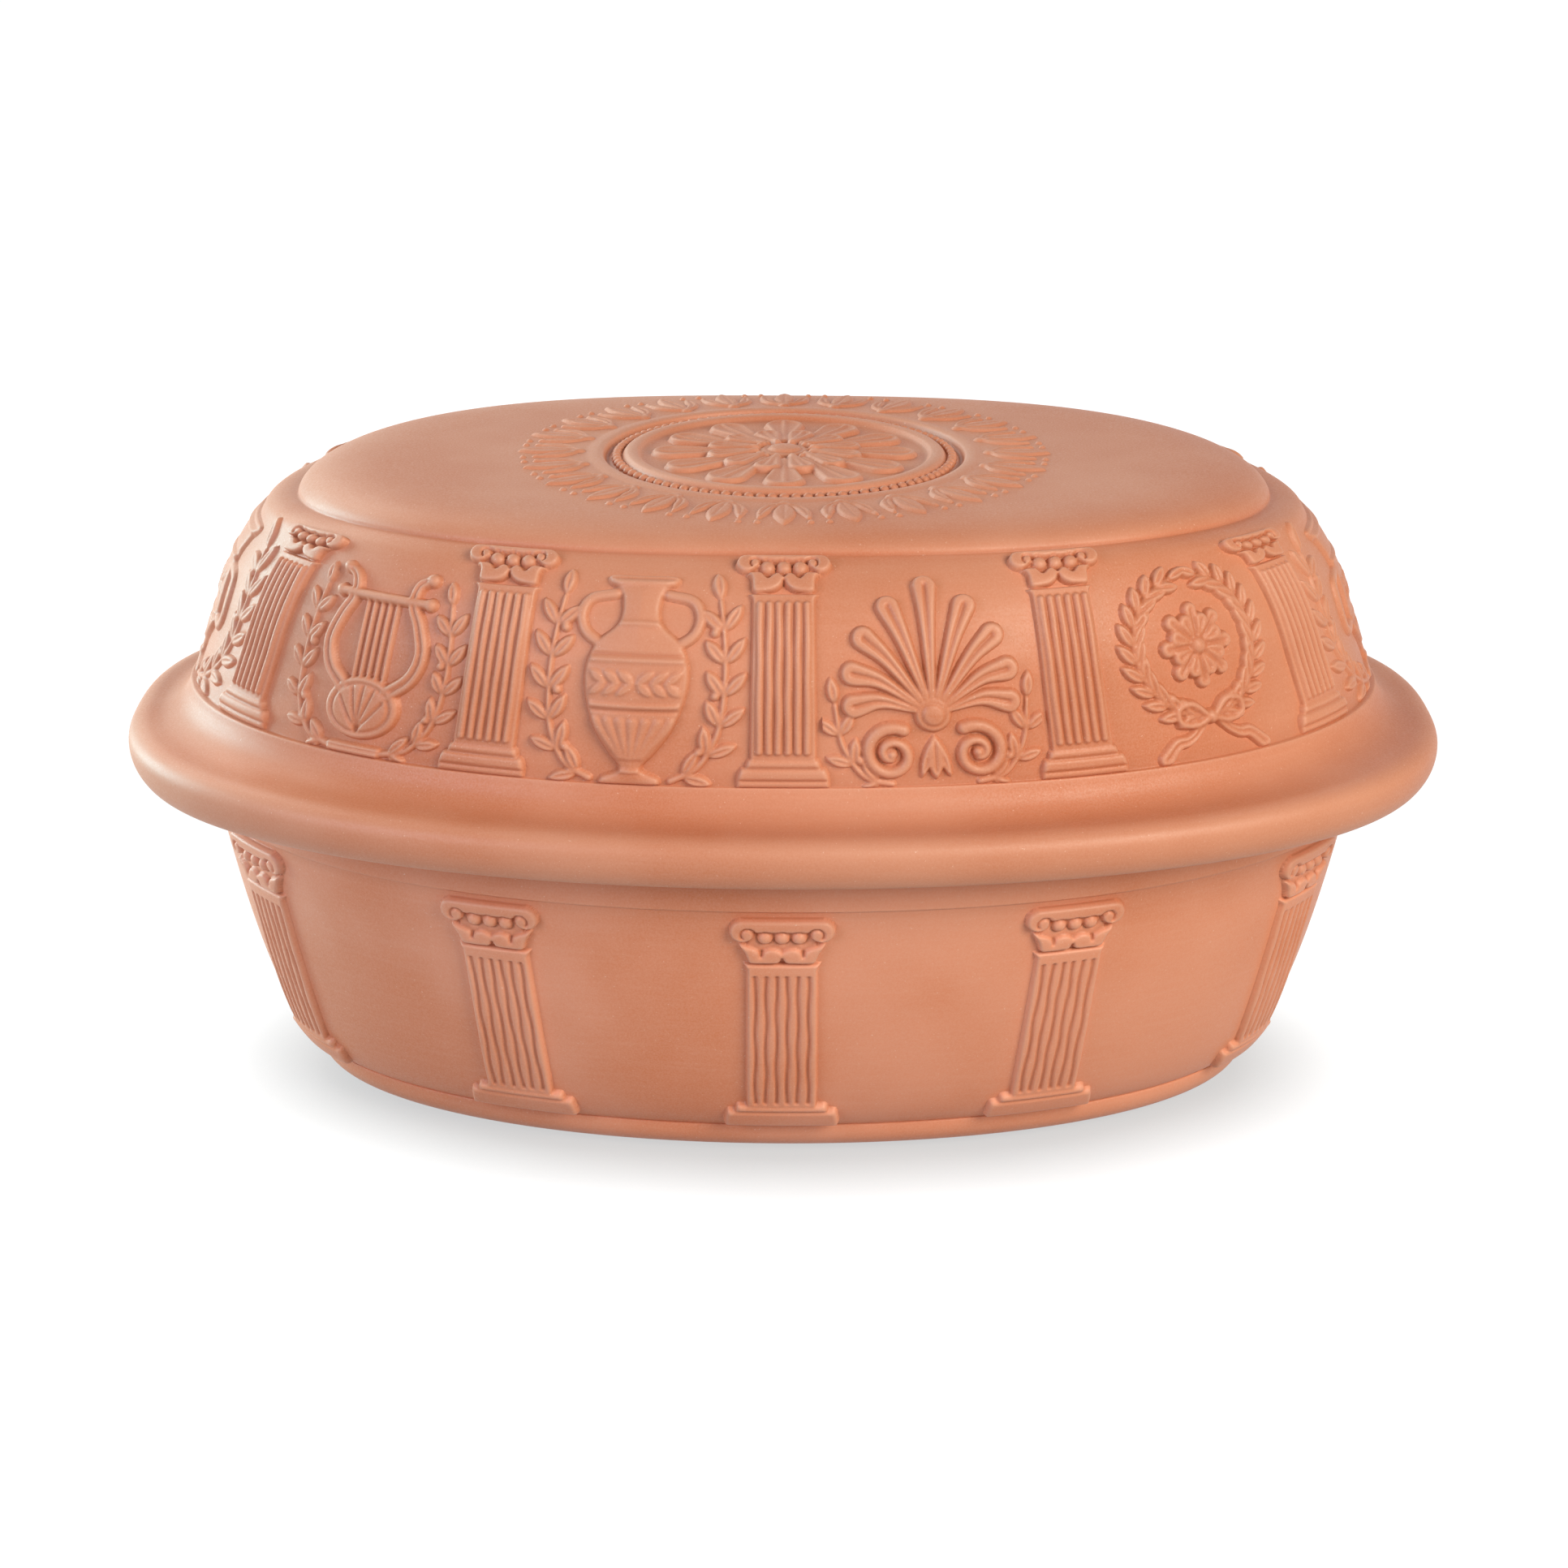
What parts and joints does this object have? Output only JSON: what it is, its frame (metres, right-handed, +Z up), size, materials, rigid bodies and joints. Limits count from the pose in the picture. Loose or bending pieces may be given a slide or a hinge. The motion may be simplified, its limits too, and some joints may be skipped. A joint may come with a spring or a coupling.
{
  "type": "clay baker",
  "caption": "Oval unglazed clay baker: a deep flaring dish and a domed lid with a broad overhanging rim, both set round with fluted columns in low relief.",
  "frame": {"origin": "on the surface that the dish stands on, under the middle of the oval", "axes": "+X along the long side, +Y across to the back long side, +Z up; one long side faces -Y"},
  "size_m": [0.415, 0.276, 0.205],
  "materials": {
    "dish_clay": "matt unglazed terracotta, pressed and wiped",
    "lid_clay": "matt unglazed terracotta, pressed and wiped"
  },
  "bodies": {
    "dish": {"dish": "dish_clay"},
    "lid": {"lid": "lid_clay"}
  },
  "joints": [
    {"name": "lid_lift", "type": "slide", "parent": "dish", "child": "lid", "axis": [0, 0, 1], "range_m": [0, 0.15]}
  ]
}
